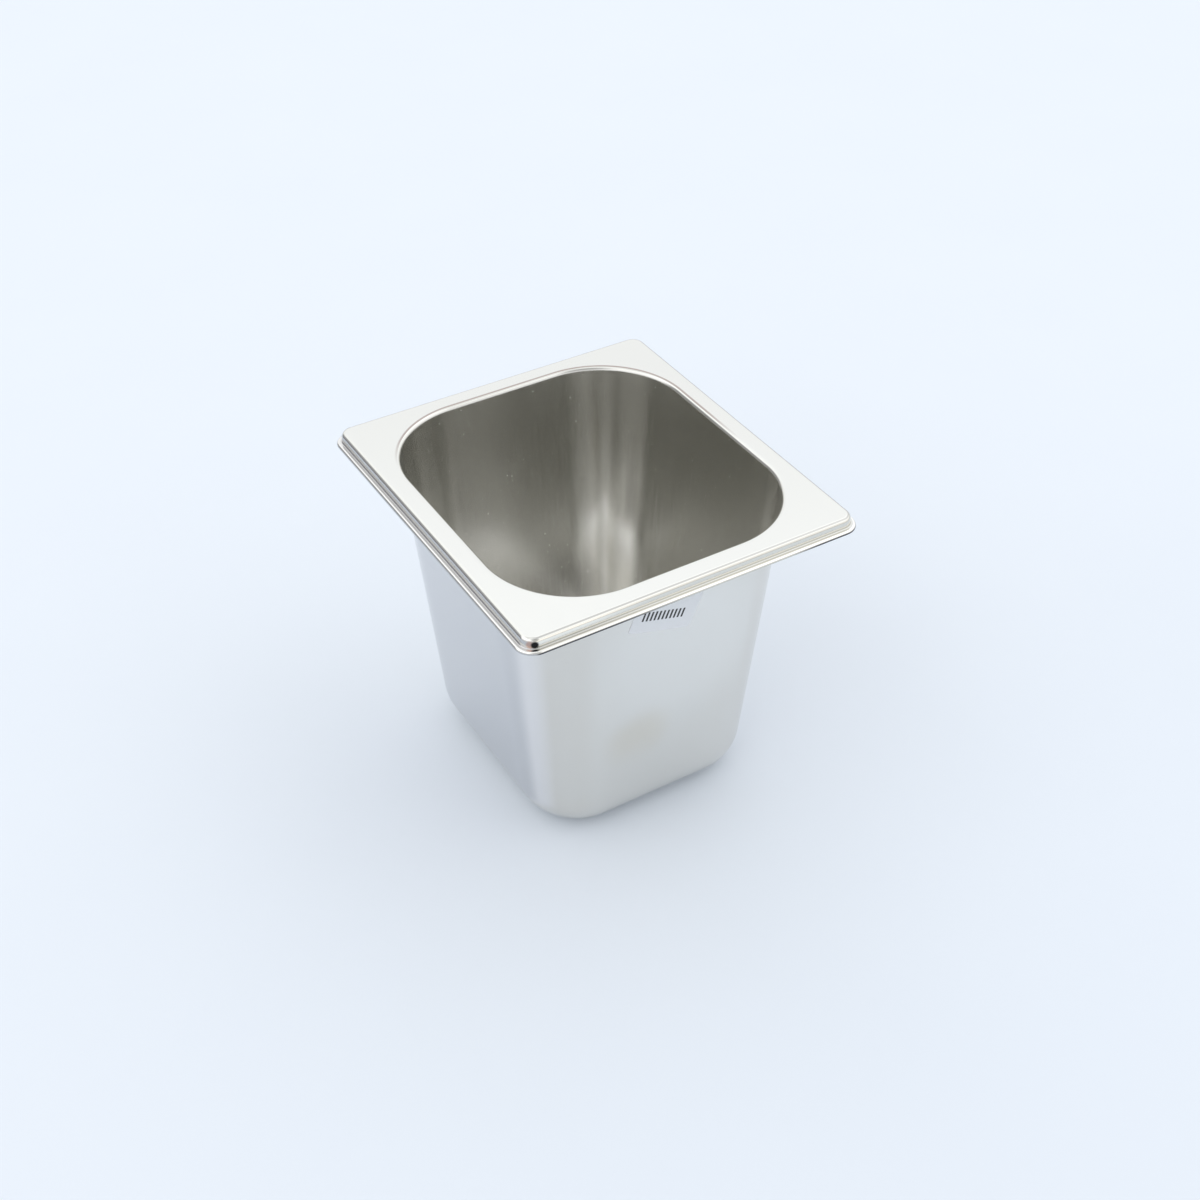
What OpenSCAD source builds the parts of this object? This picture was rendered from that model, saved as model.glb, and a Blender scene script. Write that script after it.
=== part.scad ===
// Deli food pan: a one-sixth size gastronorm pan, drawn from one sheet of stainless steel.
// A flat flange runs round a large-radius mouth and steps down to a narrow ledge with a
// turned-down lip. The walls lean in towards a small flat base, so that pans stack.
// A paper label is stuck on the front wall, just under the rim.
// Origin: centre of the underside of the base, +Z up, the front wall (with the label) faces -Y.
// All lengths are in millimetres and all angles in degrees.

/* [Rim] */
// Width of the rim across its outer edge, from side to side
rim_w = 162; // [150:1:200]
// Length of the rim across its outer edge, from front to back
rim_l = 176; // [160:1:330]
// Corner radius of the rim's outer edge
rim_corner_r = 8.4; // [6:0.2:14]
// Width of the flat flange, from the bend at the mouth to the bend at the step
flange_w = 6.7; // [4:0.1:12]
// Drop from the top of the flange to the top of the ledge round it
step_drop = 4.5; // [3:0.1:10]
// Width of the ledge, from the step's outer face to the rim's outer edge
ledge_w = 2.4; // [2:0.1:5]
// Inside radius of the bend at the top of the step
step_bend_r = 1.3; // [0.5:0.1:2]
// Radius of the crease at the foot of the step, on its upper face
crease_r = 0.5; // [0.2:0.1:0.8]
// Inside radius of the bend at the lip
lip_bend_r = 0.3; // [0.1:0.05:0.6]
// Straight part of the lip, below its bend
lip_edge = 0.2; // [0.2:0.1:4]

/* [Body] */
// Overall height, from the underside of the base to the top of the flange
pan_h = 150; // [65:1:200]
// Thickness of the steel sheet
sheet = 0.8; // [0.5:0.1:1]
// Corner radius of the mouth, where the flange starts to bend down
mouth_corner_r = 42.4; // [38:0.1:60]
// Radius of the bend from the flange's top to the walls' inner face
mouth_bend_r = 1.8; // [1.2:0.1:8]
// Angle by which the walls lean in towards the base
draft = 5.6; // [1:0.1:7]
// Outside radius of the bend from the walls to the base
base_bend_r = 20; // [5:0.5:26]

/* [Label] */
// Width of the label, along its lines
label_w = 32; // [20:1:40]
// Height of the label
label_h = 20; // [12:1:26]
// Thickness of the label
label_thick = 0.15; // [0.1:0.05:0.4]
// Corner radius of the label
label_corner_r = 1.5; // [0.5:0.1:4]
// Distance of the label's middle from the middle of the wall, positive to the right
label_x = -7.3; // [-10:0.1:10]
// Distance of the label's middle below the flange's top, along the wall
label_drop = 22.8; // [22:0.1:90]
// Angle by which the label was stuck on askew, clockwise as its reader sees it
label_tilt = 17; // [-20:1:20]

/* [Hidden] */
$fn = 128;

quarter = 90;
straight = 180;
// How far the carried sections reach into the flange and the middle of the base reaches into them
lap = 1;

// Rim: its section is drawn from the centre of the rim's corners
step_bend_out_r = step_bend_r + sheet;
lip_bend_out_r = lip_bend_r + sheet;
rim_edge_w = ledge_w + step_bend_out_r;
flat_edge_r = rim_corner_r - rim_edge_w;
rim_centres = [rim_w, rim_l] - 2 * rim_corner_r * [1, 1];
flat_size = [rim_w, rim_l] - 2 * rim_edge_w * [1, 1];
ledge_z = pan_h - step_drop;
step_face_r = flat_edge_r + step_bend_out_r;
crease_c = [step_face_r + crease_r, ledge_z + crease_r];
lip_bend_c = [rim_corner_r - lip_bend_out_r, ledge_z - lip_bend_out_r];
lip_bottom_z = lip_bend_c.y - lip_edge;

// Body: its section is drawn from the centre of the mouth's corners
mouth_size = flat_size - 2 * flange_w * [1, 1];
mouth_centres = mouth_size - 2 * mouth_corner_r * [1, 1];
wall_out = [cos(draft), -sin(draft)];
mouth_bend_c = [mouth_corner_r, pan_h - mouth_bend_r];
wall_top = mouth_bend_c - (mouth_bend_r - sheet) * wall_out;
wall_foot_z = base_bend_r * (1 - sin(draft));
wall_foot_r = wall_top.x - (wall_top.y - wall_foot_z) * tan(draft);
base_bend_c = [wall_foot_r - base_bend_r * cos(draft), base_bend_r];
// Distance of the outer wall face from the mouth's corner centre, carried on up to the flange's top
wall_reach = wall_top.x + (pan_h - wall_top.y) * tan(draft);

// Kite that covers the angles from a0 to a1 out past radius r
module wedge(r, a0, a1) {
    mid = (a0 + a1) / 2;
    reach = 2 * r;
    polygon([
        [0, 0],
        reach * [cos(a0), sin(a0)],
        reach * [cos(mid), sin(mid)],
        reach * [cos(a1), sin(a1)]
    ]);
}

// Section of the sheet where it bends, round an inside radius, from angle a0 to angle a1
module bend(inside_r, a0, a1) {
    intersection() {
        difference() {
            circle(r = inside_r + sheet);
            circle(r = inside_r);
        }
        wedge(inside_r + sheet, a0, a1);
    }
}

// Carries a section round a rounded rectangle. The section's X is its distance from the
// corner centres, which stand at the corners of a rectangle of size centres.
module carry_round(centres) {
    for (side = [0:3]) {
        span = side % 2 == 0 ? centres : [centres.y, centres.x];
        rotate([0, 0, quarter * side]) translate([span.x / 2, span.y / 2, 0]) {
            rotate_extrude(angle = quarter) children();
            rotate([quarter, 0, 0]) linear_extrude(height = span.y) children();
        }
    }
}

// Rectangle with rounded corners, centred
module rounded_rectangle(size, r) {
    square([size.x, size.y - 2 * r], center = true);
    square([size.x - 2 * r, size.y], center = true);
    for (x = [-1, 1], y = [-1, 1]) {
        translate([x * (size.x / 2 - r), y * (size.y / 2 - r)]) circle(r = r);
    }
}

// Section from the flange over the mouth's bend, down the wall and into the base
module body_section() {
    translate([mouth_corner_r, pan_h - sheet]) square([lap, sheet]);
    translate(mouth_bend_c) bend(mouth_bend_r - sheet, quarter, straight - draft);
    polygon([
        wall_top,
        wall_top - sheet * wall_out,
        base_bend_c + (base_bend_r - sheet) * wall_out,
        base_bend_c + base_bend_r * wall_out
    ]);
    translate(base_bend_c) bend(base_bend_r - sheet, -quarter, -draft);
    square([base_bend_c.x, sheet]);
}

// Section from the flange down the step, over the ledge and round the lip
module rim_section() {
    translate([flat_edge_r - lap, pan_h - sheet]) square([lap, sheet]);
    translate([flat_edge_r, pan_h - step_bend_out_r]) bend(step_bend_r, 0, quarter);
    translate([step_face_r - sheet, crease_c.y])
        square([sheet, pan_h - step_bend_out_r - crease_c.y]);
    translate(crease_c) bend(crease_r, straight, straight + quarter);
    translate([crease_c.x, ledge_z - sheet]) square([lip_bend_c.x - crease_c.x, sheet]);
    translate(lip_bend_c) bend(lip_bend_r, 0, quarter);
    translate([rim_corner_r - sheet, lip_bottom_z]) square([sheet, lip_edge]);
}

// Flat flange between the mouth's bend and the bend at the step
module flange() {
    translate([0, 0, pan_h - sheet]) linear_extrude(height = sheet) difference() {
        rounded_rectangle(flat_size, flat_edge_r);
        rounded_rectangle(mouth_size, mouth_corner_r);
    }
}

// Middle of the base, inside the corner centres
module base_middle() {
    translate([-mouth_centres.x / 2 - lap, -mouth_centres.y / 2 - lap, 0])
        cube([mouth_centres.x + 2 * lap, mouth_centres.y + 2 * lap, sheet]);
}

// The pan itself: one pressing
module pan() {
    color("silver") {
        carry_round(mouth_centres) body_section();
        base_middle();
        flange();
        carry_round(rim_centres) rim_section();
    }
}

// Stuck-on label, flat against the leaning front wall
module label() {
    color("whitesmoke")
        translate([label_x, -mouth_centres.y / 2 - wall_reach, pan_h])
            rotate([quarter + draft, 0, 0])
                translate([0, -label_drop, 0])
                    rotate([0, 0, -label_tilt])
                        linear_extrude(height = label_thick)
                            rounded_rectangle([label_w, label_h], label_corner_r);
}

pan();
label();
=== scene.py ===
import math

import bpy
import numpy as np
from mathutils import Matrix, Vector


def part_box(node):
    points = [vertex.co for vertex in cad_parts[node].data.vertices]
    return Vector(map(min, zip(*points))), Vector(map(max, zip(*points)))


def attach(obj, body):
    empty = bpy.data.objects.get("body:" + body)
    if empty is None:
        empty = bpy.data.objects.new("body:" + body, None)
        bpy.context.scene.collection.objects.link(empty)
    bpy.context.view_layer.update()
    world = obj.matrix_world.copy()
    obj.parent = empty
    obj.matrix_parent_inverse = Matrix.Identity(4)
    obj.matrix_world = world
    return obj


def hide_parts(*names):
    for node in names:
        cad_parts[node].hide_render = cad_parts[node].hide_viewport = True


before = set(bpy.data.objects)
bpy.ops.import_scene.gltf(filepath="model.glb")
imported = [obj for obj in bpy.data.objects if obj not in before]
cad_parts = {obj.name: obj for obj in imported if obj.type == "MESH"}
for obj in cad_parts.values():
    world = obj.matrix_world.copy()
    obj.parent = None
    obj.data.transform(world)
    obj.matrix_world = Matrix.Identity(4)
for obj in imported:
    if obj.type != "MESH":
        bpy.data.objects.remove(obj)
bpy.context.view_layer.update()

MM = 0.001

# Section of the sheet, as the solid has it
SHEET = 0.8 * MM
FLANGE_W = 6.7 * MM
STEP_DROP = 4.5 * MM
LEDGE_W = 2.4 * MM
RIM_CORNER_R = 8.4 * MM
STEP_BEND_R = 1.3 * MM
CREASE_R = 0.5 * MM
LIP_BEND_R = 0.3 * MM
LIP_EDGE = 0.2 * MM
MOUTH_CORNER_R = 42.4 * MM
MOUTH_BEND_R = 1.8 * MM
DRAFT = math.radians(5.6)
BASE_BEND_R = 20.0 * MM
# Rounding left by the shears on the two edges of the lip
SHEARED_R = 0.1 * MM

# Rings of the mesh across the stretches that its inner and outer face share
BASE_STEPS = 12
BASE_BEND_STEPS = 28
WALL_STEPS = 40
FLANGE_STEPS = 6

# The label was stuck on askew, clockwise as its reader sees it
LABEL_TILT = math.radians(17)
LABEL_THICK = 0.15 * MM

# Print on the label, measured from the label's middle
BAR_COUNT = 11
BAR_W = 0.95 * MM
BAR_CUT = 0.12 * MM
BARS_LEFT = -10.9 * MM
BARS_RIGHT = 9.3 * MM
BARS_BOTTOM = -4.0 * MM
BARS_TOP = 0.7 * MM
INK_RAISED = 0.02 * MM
INK_SUNK = 0.02 * MM

# Steel: colours of the rim, of the walls outside and inside, of the marks on them, and of the painted
# highlights, reflections and shade on them
STEEL = (0.79, 0.795, 0.76, 1)
STEEL_DULL = (0.74, 0.745, 0.72, 1)
STEEL_INSIDE = (0.725, 0.722, 0.697, 1)
# Painted shade on the inside of the right wall
STEEL_INSIDE_RIGHT_SHADE = (0.665, 0.66, 0.635, 1)
# Painted shade on the bend of the base inside
STEEL_INSIDE_FOOT_SHADE = (0.36, 0.355, 0.34, 1)
# Painted highlight: the bright streak down the far inside corner
STEEL_INSIDE_STREAK_HIGHLIGHT = (0.93, 0.925, 0.91, 1)
STEEL_WALL = (0.75, 0.74, 0.705, 1)
# Painted highlight on the middle of the front wall
STEEL_FRONT_HIGHLIGHT = (0.80, 0.795, 0.765, 1)
# Painted highlight and painted shade on the outer corners of the body
STEEL_CORNER_HIGHLIGHT = (0.83, 0.82, 0.82, 1)
STEEL_CORNER_SHADE = (0.72, 0.705, 0.665, 1)
# Painted shade with a bluish tint of light on the left wall's outside
STEEL_LEFT_BLUISH_SHADE = (0.655, 0.66, 0.675, 1)
# Painted shade on the rim's upright faces, a painted highlight near their top, and darker painted shade on
# the left
STEEL_STEP_SHADE = (0.70, 0.685, 0.63, 1)
STEEL_STEP_HIGHLIGHT = (0.95, 0.92, 0.83, 1)
STEEL_STEP_LEFT_SHADE = (0.54, 0.54, 0.54, 1)
# Painted shade in the rim's groove, a painted highlight on the lip's bend, and a painted dark reflection
# on the fold
STEEL_GROOVE_SHADE = (0.59, 0.585, 0.55, 1)
STEEL_LIP_HIGHLIGHT = (0.92, 0.92, 0.90, 1)
STEEL_FOLD_REFLECTION = (0.58, 0.58, 0.565, 1)
# Painted brownish shade round the far half of the mouth
STEEL_MOUTH_SHADE = (0.40, 0.34, 0.31, 1)
STEEL_BROWNISH = (0.70, 0.66, 0.57, 1)
# Painted shade: the near-black line along the lip's lower edge
STEEL_LIP_SHADE = (0.09, 0.09, 0.10, 1)
# Painted shade in the left crease of the rim
STEEL_CREASE_SHADE = (0.60, 0.59, 0.60, 1)
# Painted reflection on the front corner's step: a coppery spot and a black spot
STEEL_COPPERY_REFLECTION = (0.50, 0.36, 0.31, 1)
STEEL_BLACK_REFLECTION = (0.02, 0.02, 0.02, 1)

# How rough the steel is, and what is added to that where a mask is 1
RIM_ROUGHNESS = 0.09
OUTSIDE_ROUGHNESS = 0.17
INSIDE_ROUGHNESS = 0.225
HIGHLIGHT_STREAK_ROUGHER = -0.05
LEFT_RIM_ROUGHER = 0.07
GRAIN_ROUGHER = 0.10
SMUDGE_ROUGHER = 0.035
SPECK_ROUGHER = 0.10

# How much of the dull colour the grain, the smudges and the specks bring
GRAIN_DULLER = 0.25
SMUDGE_DULLER = 0.25
SPECK_DULLER = 0.2

# Noises, each as its scale, detail and roughness, and the scale along each axis of the lines left by
# drawing the walls and rolling the flat parts. Then how far the waves and the lines rise.
LINE_NOISE = (1.0, 3.0, 0.6)
SMUDGE_NOISE = (26, 4.0, 0.55)
WAVE_NOISE = (17, 1.0, 0.4)
SPECK_NOISE = (900, 2.0, 0.5)
DRAWN_LINES = (520, 520, 9)
ROLLED_LINES = (700, 45, 45)
WAVE_RISE = 0.10 * MM
GRAIN_RISE = 0.006 * MM

# Noise values between which the specks, and the smudges' roughness, dullness and brownish tone, come in,
# and how much of the brownish tone shows without a smudge
SPECK_NOISY = (0.70, 0.78)
SMUDGE_ROUGH = (0.52, 0.72)
SMUDGE_DULL = (0.5, 0.8)
SMUDGE_BROWNISH = (0.3, 0.65)
BROWNISH_BARE = 0.35

# Where the masks begin and end, each pair as the values between which the mask goes from 0 to 1, or
# from 1 to 0 where its name says that it ends or fades
OUTWARD = (-2 * MM, 2 * MM)
LYING_NZ = (0.5, 0.85)
RIM_Z = (142.5 * MM, 144.5 * MM)
LEFT_X_ENDS = (-76 * MM, -74 * MM)
LEFT_SHADE_NX_ENDS = (-0.98, -0.90)
NEAR_CORNER_X_FADES = (-55 * MM, -20 * MM)
# Heights where the painted highlight comes in on the step, in front and on the left
STEP_HIGHLIGHT_Z = (146.6 * MM, 148.2 * MM)
LEFT_STEP_HIGHLIGHT_Z = (149.0 * MM, 149.4 * MM)
FOLD_Z, FOLD_Z_ENDS = (149.5 * MM, 149.7 * MM), (149.85 * MM, 149.98 * MM)
FOLD_REACH = (3.0 * MM, 3.9 * MM)
GROOVE_REACH = (RIM_CORNER_R - 2.8 * MM, RIM_CORNER_R - 2.5 * MM)
GROOVE_Z_ENDS = (146.0 * MM, 146.8 * MM)
LIP_REACH = (RIM_CORNER_R - 1.5 * MM, RIM_CORNER_R - 1.1 * MM)
LIP_Z = (144.95 * MM, 145.2 * MM)
# Heights of the lip's painted shade line, and where along X it is taken away
LIP_SHADE_Z, LIP_SHADE_Z_ENDS = (143.5 * MM, 143.7 * MM), (144.8 * MM, 145.0 * MM)
LIP_SHADE_GONE_X, LIP_SHADE_GONE_X_ENDS = (-45 * MM, 0.0), (42 * MM, 60 * MM)
CREASE_Z, CREASE_Z_ENDS = (145.4 * MM, 145.6 * MM), (146.0 * MM, 146.3 * MM)
# Where the painted shade round the mouth lies
MOUTH_SHADE_REACH = (MOUTH_CORNER_R - 0.7 * MM, MOUTH_CORNER_R - 0.3 * MM)
MOUTH_SHADE_REACH_ENDS = (MOUTH_CORNER_R - 0.1 * MM, MOUTH_CORNER_R + 0.9 * MM)
MOUTH_SHADE_FARNESS = (12 * MM, 42 * MM)

# Azimuths that the outward normal has, off the side walls' one, where the painted highlight and the
# painted shade lie on the corners' sheet, and that the inward normal has on the painted highlight streak
# down the far corner and on the painted shade of the right wall. Each has the degrees off it at which the
# mask is still 1 and already 0.
CORNER_HIGHLIGHT = (18, 3, 26)
CORNER_SHADE = (48, 10, 30)
HIGHLIGHT_STREAK = (228, 14, 29)
HIGHLIGHT_STREAK_Z_FADES = (85 * MM, 140 * MM)
RIGHT_INSIDE_SHADE = (180, 15, 45)

# What is left of the painted highlight streak at the mouth, and of the step's painted highlight and the
# groove's painted shade far from the near corner. How deep the brownish patch is, and how much of the
# painted shade line under the lip is taken away. How X and Y count towards the far corner.
HIGHLIGHT_STREAK_LEFT = 0.65
STEP_HIGHLIGHT_LEFT = 0.25
GROOVE_LEFT = 0.45
BROWNISH_DEPTH = 0.6
LIP_SHADE_GONE = 0.95
FARNESS = (0.4, 0.9)

# Marks, as the middle and the distances from it at which the mask is still 1 and already 0: a painted
# highlight on the middle of the front wall, a faint brownish patch below it, painted shade on the bend of
# the base inside, and a painted black and coppery reflection on the front corner's step
FRONT_HIGHLIGHT = ((3 * MM, -71 * MM, 100 * MM), 22 * MM, 56 * MM)
BROWNISH_PATCH = ((-15.5 * MM, -66.7 * MM, 55.5 * MM), 5 * MM, 21 * MM)
FOOT_SHADE = ((32 * MM, 9 * MM, 2 * MM), 15 * MM, 36 * MM)
BLACK_REFLECTION = ((-74.8 * MM, -85.2 * MM, 147.4 * MM), 1.1 * MM, 2.0 * MM)
COPPERY_REFLECTION = ((-76.5 * MM, -84.2 * MM, 147.4 * MM), 1.0 * MM, 2.1 * MM)

# Colours of the label, the ink and the stage, and how far the floor reaches each way
LABEL_PALE = (0.755, 0.775, 0.80, 1)
LABEL_DEEP = (0.725, 0.745, 0.77, 1)
INK = (0.008, 0.008, 0.01, 1)
INK_WORN = (0.05, 0.05, 0.06, 1)
FLOOR_PALE = (0.815, 0.873, 0.947, 1)
FLOOR_DEEP = (0.770, 0.830, 0.910, 1)
BACKDROP = (0.84, 0.90, 0.97, 1)
FLOOR_REACH = 4.0

# Light: the dome's level at each elevation, then stretches of it as azimuth, elevation, the angles from
# there within which it is full and beyond which it is gone, and its factor. Angles are in degrees.
DOME_STRENGTH = 1.12
DOME = [(0, 0.55), (9, 0.80), (20, 0.98), (32, 0.96), (43, 1.10), (57, 1.08), (70, 0.74), (90, 0.62)]
PATCHES = [
    (-15, 40, 20, 55, (1.10, 1.10, 1.10)),
    (-175, 42, 25, 55, (1.20, 1.20, 1.20)),
    (55, 38, 10, 30, (1.0, 1.01, 1.035)),
    (128, 10, 17, 31, (0.33, 0.33, 0.34)),
    (-98, 48, 12, 32, (0.45, 0.45, 0.45)),
]

# Camera: place, the point it looks at, and its focal length for a 36 mm sensor
CAMERA_AT = (-0.31323, -0.52518, 0.57606)
CAMERA_LOOKS_AT = (0.00676, 0.00140, 0.07500)
SENSOR_MM = 36.0
FOCAL_PX = 1733.0
FRAME_PX = 1200.0

QUARTER = math.pi / 2


# ---------------------------------------------------------------- the pressing

class Ring:
    """One turn round the pan: a rounded rectangle at one height, with the section's normal there."""

    def __init__(self, centres, r, z, out, up, shrink=1.0):
        self.centres = centres
        self.r = r
        self.z = z
        self.out = out
        self.up = up
        self.shrink = shrink


def arc(centres, centre, radius, start, end, steps, facing=1):
    """Rings along an arc of the section, without its last one. facing is 1 outside the bend, -1 inside."""
    rings = []
    for i in range(steps):
        a = start + (end - start) * i / steps
        c, s = math.cos(a), math.sin(a)
        rings.append(Ring(centres, centre[0] + radius * c, centre[1] + radius * s,
                          facing * c, facing * s))
    return rings


def run(centres, start, end, normal, steps, end_centres=None):
    """Rings along a straight stretch of the section, without its last one."""
    end_centres = end_centres or centres
    rings = []
    for i in range(steps):
        t = i / steps
        both = tuple(a + (b - a) * t for a, b in zip(centres, end_centres))
        rings.append(Ring(both, start[0] + (end[0] - start[0]) * t,
                          start[1] + (end[1] - start[1]) * t, *normal))
    return rings


def base_rings(centres, r, z, up, steps):
    """Nested outlines of the flat base, from its middle outwards, without the last one."""
    return [Ring(centres, r, z, 0, up, (i + 1) / (steps + 1)) for i in range(steps)]


def body_centres():
    """Size of the rectangle on whose corners the body's round corners are centred."""
    low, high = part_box("pan")
    inset = LEDGE_W + STEP_BEND_R + SHEET + FLANGE_W + MOUTH_CORNER_R
    return high[0] - low[0] - 2 * inset, high[1] - low[1] - 2 * inset


def rim_centres():
    """Size of the rectangle on whose corners the rim's round corners are centred."""
    low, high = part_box("pan")
    return high[0] - low[0] - 2 * RIM_CORNER_R, high[1] - low[1] - 2 * RIM_CORNER_R


def pan_section():
    """All rings, from the middle of the base up the inside, over the rim and down the outside."""
    low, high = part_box("pan")
    height = high[2] - low[2]
    rim = rim_centres()
    body = body_centres()
    step_out_r = STEP_BEND_R + SHEET
    flat_r = RIM_CORNER_R - LEDGE_W - step_out_r
    lip_out_r = LIP_BEND_R + SHEET
    wall = (math.cos(DRAFT), -math.sin(DRAFT))
    inward = (-wall[0], -wall[1])

    mouth_c = (MOUTH_CORNER_R, height - MOUTH_BEND_R)
    mouth_inner_r = MOUTH_BEND_R - SHEET
    wall_top = tuple(c - mouth_inner_r * w for c, w in zip(mouth_c, wall))
    foot_z = BASE_BEND_R * (1 - math.sin(DRAFT))
    foot_r = wall_top[0] - (wall_top[1] - foot_z) * math.tan(DRAFT)
    base_c = (foot_r - BASE_BEND_R * math.cos(DRAFT), BASE_BEND_R)
    base_inner_r = BASE_BEND_R - SHEET

    step_r = flat_r + step_out_r
    ledge_z = height - STEP_DROP
    crease_c = (step_r + CREASE_R, ledge_z + CREASE_R)
    lip_c = (RIM_CORNER_R - lip_out_r, ledge_z - lip_out_r)
    lip_low = lip_c[1] - LIP_EDGE
    lip_in_r = RIM_CORNER_R - SHEET

    def on(centre, radius, angle):
        return centre[0] + radius * math.cos(angle), centre[1] + radius * math.sin(angle)

    up, down, out, back = (0, 1), (0, -1), (1, 0), (-1, 0)
    rings = base_rings(body, base_c[0], SHEET, 1, BASE_STEPS)
    rings += arc(body, base_c, base_inner_r, -QUARTER, -DRAFT, BASE_BEND_STEPS, -1)
    rings += run(body, on(base_c, base_inner_r, -DRAFT), on(mouth_c, MOUTH_BEND_R, math.pi - DRAFT),
                 inward, WALL_STEPS)
    rings += arc(body, mouth_c, MOUTH_BEND_R, math.pi - DRAFT, QUARTER, 16)
    rings += run(body, (MOUTH_CORNER_R, height), (flat_r, height), up, FLANGE_STEPS, rim)
    rings += arc(rim, (flat_r, height - step_out_r), step_out_r, QUARTER, 0, 10)
    rings += run(rim, (step_r, height - step_out_r), (step_r, crease_c[1]), out, 4)
    rings += arc(rim, crease_c, CREASE_R, math.pi, math.pi + QUARTER, 6, -1)
    rings += run(rim, (crease_c[0], ledge_z), (lip_c[0], ledge_z), up, 2)
    rings += arc(rim, lip_c, lip_out_r, QUARTER, 0, 8)
    rings += run(rim, (RIM_CORNER_R, lip_c[1]), (RIM_CORNER_R, lip_low + SHEARED_R), out, 1)
    rings += arc(rim, (RIM_CORNER_R - SHEARED_R, lip_low + SHEARED_R), SHEARED_R, 0, -QUARTER, 3)
    rings += run(rim, (RIM_CORNER_R - SHEARED_R, lip_low), (lip_in_r + SHEARED_R, lip_low), down, 1)
    rings += arc(rim, (lip_in_r + SHEARED_R, lip_low + SHEARED_R), SHEARED_R, -QUARTER, -math.pi, 3)
    rings += run(rim, (lip_in_r, lip_low + SHEARED_R), (lip_in_r, lip_c[1]), back, 1)
    rings += arc(rim, lip_c, LIP_BEND_R, 0, QUARTER, 5, -1)
    rings += run(rim, (lip_c[0], ledge_z - SHEET), (crease_c[0], ledge_z - SHEET), down, 2)
    rings += arc(rim, crease_c, CREASE_R + SHEET, math.pi + QUARTER, math.pi, 6)
    rings += run(rim, (step_r - SHEET, crease_c[1]), (step_r - SHEET, height - step_out_r), back, 4)
    rings += arc(rim, (flat_r, height - step_out_r), STEP_BEND_R, 0, QUARTER, 6, -1)
    rings += run(rim, (flat_r, height - SHEET), (MOUTH_CORNER_R, height - SHEET), down, FLANGE_STEPS, body)
    rings += arc(body, mouth_c, mouth_inner_r, QUARTER, math.pi - DRAFT, 12, -1)
    rings += run(body, wall_top, on(base_c, BASE_BEND_R, -DRAFT), wall, WALL_STEPS)
    rings += arc(body, base_c, BASE_BEND_R, -DRAFT, -QUARTER, BASE_BEND_STEPS)
    rings.append(Ring(body, base_c[0], 0, 0, -1))
    rings += base_rings(body, base_c[0], 0, -1, BASE_STEPS)[::-1]
    return rings


def stations(corner_steps=32, side_steps=28):
    """Where each vertex of a ring lies: which corner centre it goes from, and in which direction."""
    corners = [(1, 1), (-1, 1), (-1, -1), (1, -1)]
    from_centre, direction = [], []
    for k, corner in enumerate(corners):
        following = corners[(k + 1) % len(corners)]
        for i in range(corner_steps):
            a = QUARTER * (k + i / corner_steps)
            from_centre.append(corner)
            direction.append((math.cos(a), math.sin(a)))
        a = QUARTER * (k + 1)
        for i in range(side_steps):
            t = i / side_steps
            from_centre.append(tuple(p + (q - p) * t for p, q in zip(corner, following)))
            direction.append((math.cos(a), math.sin(a)))
    return np.array(from_centre, float), np.array(direction, float)


def pan_piece():
    """The pressing as one closed mesh of quads, with the true normals of its section."""
    rings = pan_section()
    centre_signs, direction = stations()
    count = len(direction)
    points, normals = [], []
    for ring in rings:
        flat = centre_signs * np.array(ring.centres) / 2 + ring.r * direction
        points.append(np.column_stack([flat * ring.shrink, np.full(count, ring.z)]))
        normals.append(np.column_stack([direction * ring.out, np.full(count, ring.up)]))
    points = np.concatenate(points)
    normals = np.concatenate(normals)

    faces = []
    for i in range(len(rings) - 1):
        for j in range(count):
            k = (j + 1) % count
            faces.append((i * count + j, (i + 1) * count + j, (i + 1) * count + k, i * count + k))
    last = (len(rings) - 1) * count
    inner_middle, outer_middle = len(points), len(points) + 1
    for j in range(count):
        k = (j + 1) % count
        faces.append((inner_middle, j, k))
        faces.append((outer_middle, last + k, last + j))
    points = np.concatenate([points, [(0, 0, SHEET), (0, 0, 0)]])
    normals = np.concatenate([normals, [(0, 0, 1), (0, 0, -1)]])

    mesh = bpy.data.meshes.new("pan_pressing")
    mesh.from_pydata(points.tolist(), [], faces)
    mesh.shade_smooth()
    mesh.normals_split_custom_set_from_vertices(normals.tolist())
    mesh.validate()
    piece = bpy.data.objects.new("pan_pressing", mesh)
    bpy.context.scene.collection.objects.link(piece)
    return piece


# ---------------------------------------------------------------- the print on the label

def label_frame():
    """Matrix of the label's outer face: X along its lines, Y up the wall, Z away from the wall."""
    low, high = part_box("label")
    along = Vector((1, 0, 0))
    up = Vector((0, -math.sin(DRAFT), math.cos(DRAFT)))
    away = along.cross(up)
    turn = Matrix((along, up, away)).transposed() @ Matrix.Rotation(-LABEL_TILT, 3, "Z")
    face = (Vector(low) + Vector(high)) / 2 + away * LABEL_THICK / 2
    return Matrix.Translation(face) @ turn.to_4x4()


def bar_outline(left, right, bottom, top, lip_shade):
    """Upright bar with cut corners, counter-clockwise."""
    return [(left + lip_shade, bottom), (right - lip_shade, bottom), (right, bottom + lip_shade), (right, top - lip_shade),
            (right - lip_shade, top), (left + lip_shade, top), (left, top - lip_shade), (left, bottom + lip_shade)]


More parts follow.
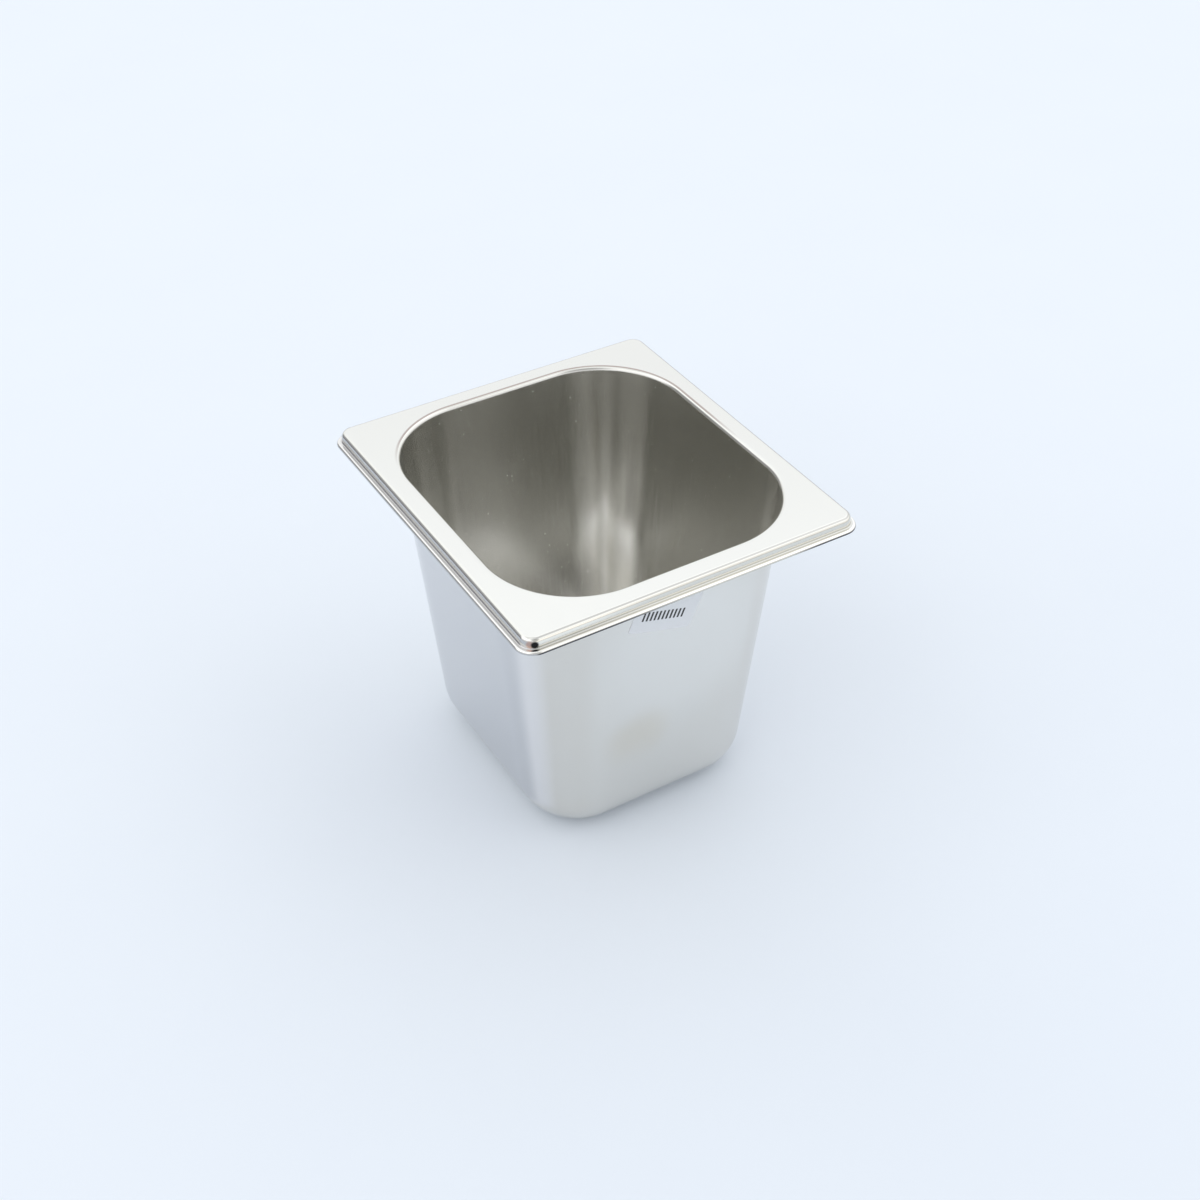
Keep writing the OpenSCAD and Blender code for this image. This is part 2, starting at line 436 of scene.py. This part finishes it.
def print_piece():
    """A generic row of evenly spaced bars, printed on the label as thin closed solids."""
    points, faces = [], []
    pitch = (BARS_RIGHT - BARS_LEFT) / (BAR_COUNT - 1)
    for i in range(BAR_COUNT):
        middle = BARS_LEFT + pitch * i
        half = BAR_W / 2
        outline = bar_outline(middle - half, middle + half, BARS_BOTTOM, BARS_TOP, BAR_CUT)
        start, n = len(points), len(outline)
        for z in (-INK_SUNK, INK_RAISED):
            points += [(x, y, z) for x, y in outline]
        faces.append([start + j for j in range(n)][::-1])
        faces.append([start + n + j for j in range(n)])
        for j in range(n):
            k = (j + 1) % n
            faces.append([start + j, start + k, start + n + k, start + n + j])
    matrix = label_frame()
    mesh = bpy.data.meshes.new("label_print")
    mesh.from_pydata([tuple(matrix @ Vector(p)) for p in points], [], faces)
    mesh.validate()
    piece = bpy.data.objects.new("label_print", mesh)
    bpy.context.scene.collection.objects.link(piece)
    return piece


# ---------------------------------------------------------------- materials

class Shading:
    """A material with a Principled shader, and short calls for the nodes that lead to it."""

    def __init__(self, name, metallic, roughness):
        self.material = bpy.data.materials.new(name)
        self.material.use_nodes = True
        self.nodes = self.material.node_tree.nodes
        self.links = self.material.node_tree.links
        self.shader = self.nodes["Principled BSDF"]
        self.shader.inputs["Metallic"].default_value = metallic
        self.shader.inputs["Roughness"].default_value = roughness
        place = self.nodes.new("ShaderNodeTexCoord")
        self.place = place.outputs["Object"]
        self.normal = place.outputs["Normal"]

    def feed(self, socket, value):
        if isinstance(value, bpy.types.NodeSocket):
            self.links.new(value, socket)
        else:
            socket.default_value = value

    def math(self, operation, a, b=0.0, c=0.0):
        node = self.nodes.new("ShaderNodeMath")
        node.operation = operation
        for socket, value in zip(node.inputs, (a, b, c)):
            self.feed(socket, value)
        return node.outputs[0]

    def scaled(self, scale, vector=None):
        node = self.nodes.new("ShaderNodeVectorMath")
        node.operation = "MULTIPLY"
        self.feed(node.inputs[0], vector or self.place)
        node.inputs[1].default_value = scale
        return node.outputs[0]

    def parts(self, vector):
        node = self.nodes.new("ShaderNodeSeparateXYZ")
        self.feed(node.inputs[0], vector)
        return node.outputs

    def noise(self, scale, detail=2.0, roughness=0.5, vector=None):
        node = self.nodes.new("ShaderNodeTexNoise")
        self.feed(node.inputs["Vector"], vector or self.place)
        node.inputs["Scale"].default_value = scale
        node.inputs["Detail"].default_value = detail
        node.inputs["Roughness"].default_value = roughness
        return node.outputs["Fac"]

    def step(self, value, low, high, start=0.0, end=1.0):
        """Goes smoothly from start, where value is low, to end, where it is high."""
        node = self.nodes.new("ShaderNodeMapRange")
        node.interpolation_type = "SMOOTHSTEP"
        for socket, given in zip(node.inputs, (value, low, high, start, end)):
            self.feed(socket, given)
        return node.outputs[0]

    def mix(self, factor, a, b):
        node = self.nodes.new("ShaderNodeMix")
        node.data_type = "RGBA"
        self.feed(node.inputs[0], factor)
        self.feed(node.inputs[6], a)
        self.feed(node.inputs[7], b)
        return node.outputs[2]

    def blob(self, centre, core, edge):
        """1 within core metres of a point, 0 beyond edge metres."""
        node = self.nodes.new("ShaderNodeVectorMath")
        node.operation = "DISTANCE"
        self.feed(node.inputs[0], self.place)
        node.inputs[1].default_value = centre
        return self.step(node.outputs["Value"], core, edge, 1.0, 0.0)

    def facing(self, nx, ny, azimuth, core, edge):
        """1 where the normal's azimuth is within core degrees of the given one, 0 beyond edge degrees."""
        a = math.radians(azimuth)
        aligned = self.math("MULTIPLY_ADD", nx, math.cos(a), self.math("MULTIPLY", ny, math.sin(a)))
        return self.step(aligned, math.cos(math.radians(edge)), math.cos(math.radians(core)))

    def reach(self, centres):
        """Distance outwards from a rectangle of the given size, round the upright axis."""
        x, y, _ = self.parts(self.place)
        over = [self.math("MAXIMUM", self.math("SUBTRACT", self.math("ABSOLUTE", at), size / 2), 0.0)
                for at, size in zip((x, y), centres)]
        squares = self.math("MULTIPLY_ADD", over[0], over[0], self.math("MULTIPLY", over[1], over[1]))
        return self.math("SQRT", squares)

    def product(self, *factors):
        total = factors[0]
        for factor in factors[1:]:
            total = self.math("MULTIPLY", total, factor)
        return total

    def but(self, mask):
        """1 where the mask is 0, and 0 where it is 1."""
        return self.math("SUBTRACT", 1.0, mask)

    def fade(self, value, low, high, left=0.0):
        """Goes smoothly from 1, where value is low, to what is left, where it is high."""
        return self.step(value, low, high, 1.0, left)

    def band(self, value, begins, ends):
        """1 between the stretches over which it begins and ends, and 0 beyond them."""
        return self.product(self.step(value, *begins), self.fade(value, *ends))

    def bumps(self, layers):
        """Bump layers, each a height and how far the surface rises where it is 1."""
        last = None
        for height, rise in layers:
            node = self.nodes.new("ShaderNodeBump")
            node.inputs["Distance"].default_value = rise
            self.feed(node.inputs["Height"], height)
            if last:
                self.links.new(last, node.inputs["Normal"])
            last = node.outputs["Normal"]
        self.links.new(last, self.shader.inputs["Normal"])


class Places:
    """Where on the pressing a point lies: its coordinates, its normal, and masks from 0 to 1."""

    def __init__(self, steel):
        self.x, self.y, self.z = steel.parts(steel.place)
        self.nx, self.ny, nz = steel.parts(steel.normal)
        self.mouth_reach = steel.reach(body_centres())
        self.rim_reach = steel.reach(rim_centres())
        outward = steel.math("MULTIPLY_ADD", self.x, self.nx, steel.product(self.y, self.ny))
        self.outside = steel.step(outward, *OUTWARD)
        self.lying = steel.step(steel.math("ABSOLUTE", nz), *LYING_NZ)
        self.rim = steel.product(steel.step(self.z, *RIM_Z),
                                 steel.math("MAXIMUM", self.outside, self.lying))
        self.inside = steel.product(steel.but(self.outside), steel.but(self.rim))
        self.left_side = steel.fade(self.x, *LEFT_X_ENDS)
        # Where the painted highlight streak runs down the far inside corner
        self.highlight_streak = steel.product(steel.facing(self.nx, self.ny, *HIGHLIGHT_STREAK),
                                    steel.fade(self.z, *HIGHLIGHT_STREAK_Z_FADES, HIGHLIGHT_STREAK_LEFT))


class Wear:
    """Lines left by drawing and rolling, smudges, waves and specks, each from 0 to 1."""

    def __init__(self, steel, at):
        drawn = steel.noise(*LINE_NOISE, steel.scaled(DRAWN_LINES))
        rolled = steel.noise(*LINE_NOISE, steel.scaled(ROLLED_LINES))
        self.grain = steel.math("ADD", steel.product(at.lying, rolled),
                                steel.product(steel.but(at.lying), drawn))
        self.grain_off = steel.math("SUBTRACT", self.grain, 0.5)
        self.smudges = steel.noise(*SMUDGE_NOISE)
        self.waves = steel.noise(*WAVE_NOISE)
        self.speck = steel.step(steel.noise(*SPECK_NOISE), *SPECK_NOISY)


def steel_roughness(steel, at, wear):
    """Mirror-like rim, satin outside and duller inside, each a little uneven."""
    rough = steel.math("MULTIPLY_ADD", at.outside, OUTSIDE_ROUGHNESS - INSIDE_ROUGHNESS, INSIDE_ROUGHNESS)
    rough = steel.math("MULTIPLY_ADD", at.rim, steel.math("SUBTRACT", RIM_ROUGHNESS, rough), rough)
    for mask, rougher in (
            (steel.product(at.inside, at.highlight_streak), HIGHLIGHT_STREAK_ROUGHER),
            (steel.product(at.left_side, at.rim), LEFT_RIM_ROUGHER),
            (wear.grain_off, GRAIN_ROUGHER),
            (steel.step(wear.smudges, *SMUDGE_ROUGH), SMUDGE_ROUGHER),
            (wear.speck, SPECK_ROUGHER)):
        rough = steel.math("MULTIPLY_ADD", mask, rougher, rough)
    return rough


def outside_colour(steel, at):
    """Walls' outside: a painted highlight in front, a painted highlight and painted shade by the corners,
    painted bluish shade on the left.
    """
    across, along = steel.math("ABSOLUTE", at.nx), steel.math("ABSOLUTE", at.ny)
    wall = steel.mix(steel.blob(*FRONT_HIGHLIGHT), STEEL_WALL, STEEL_FRONT_HIGHLIGHT)
    wall = steel.mix(steel.facing(across, along, *CORNER_SHADE), wall, STEEL_CORNER_SHADE)
    wall = steel.mix(steel.facing(across, along, *CORNER_HIGHLIGHT), wall, STEEL_CORNER_HIGHLIGHT)
    return steel.mix(steel.fade(at.nx, *LEFT_SHADE_NX_ENDS), wall, STEEL_LEFT_BLUISH_SHADE)


def inside_colour(steel, at):
    """Walls' inside: painted shade on the right wall and on the bend of the base, a painted highlight
    streak down the far corner.
    """
    within = steel.mix(steel.facing(at.nx, at.ny, *RIGHT_INSIDE_SHADE), STEEL_INSIDE, STEEL_INSIDE_RIGHT_SHADE)
    within = steel.mix(steel.blob(*FOOT_SHADE), within, STEEL_INSIDE_FOOT_SHADE)
    return steel.mix(at.highlight_streak, within, STEEL_INSIDE_STREAK_HIGHLIGHT)


def step_colour(steel, at):
    """Upright parts of the rim: painted shade, with a painted highlight near the top, in front most of all
    by the near corner, and darker painted shade on the left with a painted highlight at its top.
    """
    step_highlight = steel.product(steel.step(at.z, *STEP_HIGHLIGHT_Z),
                             steel.fade(at.x, *NEAR_CORNER_X_FADES, STEP_HIGHLIGHT_LEFT))
    front = steel.mix(step_highlight, STEEL_STEP_SHADE, STEEL_STEP_HIGHLIGHT)
    left = steel.mix(steel.step(at.z, *LEFT_STEP_HIGHLIGHT_Z), STEEL_STEP_LEFT_SHADE, STEEL_LIP_HIGHLIGHT)
    return steel.mix(at.left_side, front, left)


def rim_lines(steel, at, colour):
    """Painted shade in the groove at the foot of the step, a painted highlight on the bend of the lip, and
    a painted dark reflection on the fold at the top of the step.
    """
    elsewhere = steel.but(at.left_side)
    lip = steel.step(at.rim_reach, *LIP_REACH)
    groove_shade = steel.product(steel.but(lip), steel.step(at.rim_reach, *GROOVE_REACH),
                           steel.fade(at.z, *GROOVE_Z_ENDS), elsewhere,
                           steel.fade(at.x, *NEAR_CORNER_X_FADES, GROOVE_LEFT), at.rim)
    colour = steel.mix(groove_shade, colour, STEEL_GROOVE_SHADE)
    colour = steel.mix(steel.product(lip, steel.step(at.z, *LIP_Z), at.rim), colour, STEEL_LIP_HIGHLIGHT)
    fold_reflection = steel.product(steel.band(at.z, FOLD_Z, FOLD_Z_ENDS),
                         steel.step(at.rim_reach, *FOLD_REACH), elsewhere)
    return steel.mix(fold_reflection, colour, STEEL_FOLD_REFLECTION)


def mouth_shade(steel, at):
    """Painted brownish shade as a line round the far half of the mouth, where the flange bends down."""
    farness = steel.math("MULTIPLY_ADD", at.x, FARNESS[0], steel.product(at.y, FARNESS[1]))
    return steel.product(steel.band(at.mouth_reach, MOUTH_SHADE_REACH, MOUTH_SHADE_REACH_ENDS),
                         steel.step(farness, *MOUTH_SHADE_FARNESS), at.rim)


def steel_marks(steel, at, wear, colour):
    """Brownish patch on the front wall, painted shade along the lip's lower edge, painted shade in the
    left crease, and a painted black and coppery reflection on the near corner's step.
    """
    brownish = steel.product(steel.blob(*BROWNISH_PATCH), BROWNISH_DEPTH,
                          steel.step(wear.smudges, *SMUDGE_BROWNISH, BROWNISH_BARE, 1.0))
    colour = steel.mix(brownish, colour, STEEL_BROWNISH)
    shade_gone = steel.math("MINIMUM", steel.step(at.x, *LIP_SHADE_GONE_X), steel.fade(at.x, *LIP_SHADE_GONE_X_ENDS))
    shade_gone = steel.math("MAXIMUM", shade_gone, at.left_side)
    lip_shade = steel.product(steel.band(at.z, LIP_SHADE_Z, LIP_SHADE_Z_ENDS), at.outside,
                        steel.math("MULTIPLY_ADD", shade_gone, -LIP_SHADE_GONE, 1.0))
    colour = steel.mix(lip_shade, colour, STEEL_LIP_SHADE)
    crease_shade = steel.product(steel.band(at.z, CREASE_Z, CREASE_Z_ENDS), at.outside, at.left_side)
    colour = steel.mix(crease_shade, colour, STEEL_CREASE_SHADE)
    # Painted reflection: coppery and black spots on the near corner's step
    colour = steel.mix(steel.blob(*COPPERY_REFLECTION), colour, STEEL_COPPERY_REFLECTION)
    return steel.mix(steel.blob(*BLACK_REFLECTION), colour, STEEL_BLACK_REFLECTION)


def steel_material():
    """Bright-rolled sheet: mirror-like rim, satin walls with faint drawing lines, smudges and a brownish
    patch, and painted highlights, reflections and shade.
    """
    steel = Shading("satin_steel", 1.0, 0.15)
    at = Places(steel)
    wear = Wear(steel, at)
    steel.feed(steel.shader.inputs["Roughness"], steel_roughness(steel, at, wear))

    # Upright rim faces take the painted shade and painted highlights of step_colour
    rim = steel.mix(at.lying, step_colour(steel, at), STEEL)
    colour = steel.mix(at.rim, outside_colour(steel, at), rim)
    colour = rim_lines(steel, at, colour)
    colour = steel.mix(at.inside, colour, inside_colour(steel, at))
    colour = steel.mix(mouth_shade(steel, at), colour, STEEL_MOUTH_SHADE)
    dull = steel.math("ADD", steel.product(wear.grain_off, GRAIN_DULLER),
                      steel.step(wear.smudges, *SMUDGE_DULL, 0.0, SMUDGE_DULLER))
    colour = steel.mix(steel.math("MULTIPLY_ADD", wear.speck, SPECK_DULLER, dull), colour, STEEL_DULL)
    steel.feed(steel.shader.inputs["Base Color"], steel_marks(steel, at, wear, colour))
    steel.bumps([(wear.waves, WAVE_RISE), (wear.grain, GRAIN_RISE)])
    return steel.material


def label_material():
    """Semi-gloss film, pale grey, with fibres, a few rub marks and small pits."""
    film = Shading("label_film", 0.0, 0.35)
    fibres = film.noise(1.0, 4.0, 0.6, film.scaled((900, 900, 2600)))
    rubs = film.noise(140, 3.0, 0.6)
    pits = film.step(film.noise(2600, 2.0, 0.5), 0.62, 0.70)
    tone = film.math("MULTIPLY_ADD", rubs, 0.5, film.math("MULTIPLY", fibres, 0.5))
    film.feed(film.shader.inputs["Base Color"], film.mix(tone, LABEL_PALE, LABEL_DEEP))
    film.feed(film.shader.inputs["Roughness"], film.step(rubs, 0.35, 0.65, 0.30, 0.42))
    film.bumps([(rubs, 0.01 * MM), (fibres, 0.004 * MM), (pits, 0.004 * MM)])
    return film.material


def print_material():
    """Thermal-transfer ink: near black, thin and slightly broken where the ribbon skipped."""
    ink = Shading("label_ink", 0.0, 0.5)
    skips = ink.step(ink.noise(1400, 3.0, 0.6), 0.58, 0.72)
    ink.feed(ink.shader.inputs["Base Color"], ink.mix(skips, INK, INK_WORN))
    ink.feed(ink.shader.inputs["Roughness"], ink.step(skips, 0.0, 1.0, 0.42, 0.6))
    ink.bumps([(ink.noise(2200, 2.0, 0.5), 0.004 * MM)])
    return ink.material


def floor_material():
    """Pale laminate: a hardly visible mottle and grain, and painted shade that darkens it towards the
    front.
    """
    table = Shading("pale_table", 0.0, 0.9)
    table.shader.inputs["Specular IOR Level"].default_value = 0.0
    mottle = table.noise(9, 3.0, 0.5)
    grain = table.noise(700, 3.0, 0.6)
    y = table.parts(table.place)[1]
    tone = table.math("MULTIPLY_ADD", grain, 0.2, table.math("MULTIPLY", mottle, 0.4))
    # Painted shade: the floor gets darker towards the front
    tone = table.math("ADD", tone, table.step(y, -0.4, 0.1, 0.9, 0.0))
    table.feed(table.shader.inputs["Base Color"], table.mix(tone, FLOOR_PALE, FLOOR_DEEP))
    table.bumps([(grain, 0.01 * MM)])
    return table.material


# ---------------------------------------------------------------- stage

def add_floor():
    corners = [(x * FLOOR_REACH, y * FLOOR_REACH, 0) for x, y in ((-1, -1), (1, -1), (1, 1), (-1, 1))]
    mesh = bpy.data.meshes.new("floor")
    mesh.from_pydata(corners, [], [(0, 1, 2, 3)])
    floor = bpy.data.objects.new("floor", mesh)
    bpy.context.scene.collection.objects.link(floor)
    mesh.materials.append(floor_material())


def sky_direction(azimuth, elevation):
    a, e = math.radians(azimuth), math.radians(elevation)
    return (math.cos(a) * math.cos(e), math.sin(a) * math.cos(e), math.sin(e))


def add_world():
    """Soft dome with brighter and darker stretches; the camera itself sees a plain pale backdrop."""
    world = bpy.data.worlds.new("soft_studio")
    bpy.context.scene.world = world
    world.use_nodes = True
    nodes, links = world.node_tree.nodes, world.node_tree.links
    place = nodes.new("ShaderNodeTexCoord")
    parts = nodes.new("ShaderNodeSeparateXYZ")
    ramp = nodes.new("ShaderNodeValToRGB")
    links.new(place.outputs["Generated"], parts.inputs[0])
    links.new(parts.outputs["Z"], ramp.inputs["Fac"])
    for i, (elevation, level) in enumerate(DOME):
        height = math.sin(math.radians(elevation))
        elements = ramp.color_ramp.elements
        element = elements[0] if i == 0 else elements.new(height)
        element.position = height
        element.color = (level, level, level, 1)
    ramp.color_ramp.elements.remove(ramp.color_ramp.elements[-1])
    light = ramp.outputs["Color"]

    for azimuth, elevation, core, edge, factor in PATCHES:
        near = nodes.new("ShaderNodeVectorMath")
        near.operation = "DOT_PRODUCT"
        links.new(place.outputs["Generated"], near.inputs[0])
        near.inputs[1].default_value = sky_direction(azimuth, elevation)
        mask = nodes.new("ShaderNodeMapRange")
        mask.interpolation_type = "SMOOTHSTEP"
        links.new(near.outputs["Value"], mask.inputs[0])
        mask.inputs[1].default_value = math.cos(math.radians(edge))
        mask.inputs[2].default_value = math.cos(math.radians(core))
        layer = nodes.new("ShaderNodeMix")
        layer.data_type = "RGBA"
        layer.blend_type = "MULTIPLY"
        layer.clamp_result = False
        links.new(mask.outputs[0], layer.inputs[0])
        links.new(light, layer.inputs[6])
        layer.inputs[7].default_value = (*factor, 1)
        light = layer.outputs[2]

    studio = nodes["Background"]
    links.new(light, studio.inputs["Color"])
    studio.inputs["Strength"].default_value = DOME_STRENGTH
    backdrop = nodes.new("ShaderNodeBackground")
    backdrop.inputs["Color"].default_value = BACKDROP
    path = nodes.new("ShaderNodeLightPath")
    switch = nodes.new("ShaderNodeMixShader")
    links.new(path.outputs["Is Camera Ray"], switch.inputs[0])
    links.new(studio.outputs[0], switch.inputs[1])
    links.new(backdrop.outputs[0], switch.inputs[2])
    links.new(switch.outputs[0], nodes["World Output"].inputs["Surface"])


def add_camera():
    scene = bpy.context.scene
    data = bpy.data.cameras.new("camera")
    data.sensor_fit = "HORIZONTAL"
    data.sensor_width = SENSOR_MM
    data.lens = FOCAL_PX * SENSOR_MM / FRAME_PX
    data.clip_start = 0.01
    data.clip_end = 50
    camera = bpy.data.objects.new("camera", data)
    scene.collection.objects.link(camera)
    camera.location = CAMERA_AT
    sight = Vector(CAMERA_LOOKS_AT) - Vector(CAMERA_AT)
    camera.rotation_euler = sight.to_track_quat("-Z", "Y").to_euler()
    scene.camera = camera


bpy.context.scene.view_settings.view_transform = "Standard"
# Light goes to and fro between the pan's walls many times before it leaves by the mouth
bpy.context.scene.cycles.glossy_bounces = 10
add_camera()
add_world()
add_floor()

steel = steel_material()
pan = pan_piece()
pan.data.materials.append(steel)
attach(pan, "root")
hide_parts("pan")

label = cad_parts["label"]
label.data.materials.clear()
label.data.materials.append(label_material())

ink = print_piece()
ink.data.materials.append(print_material())
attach(ink, "root")
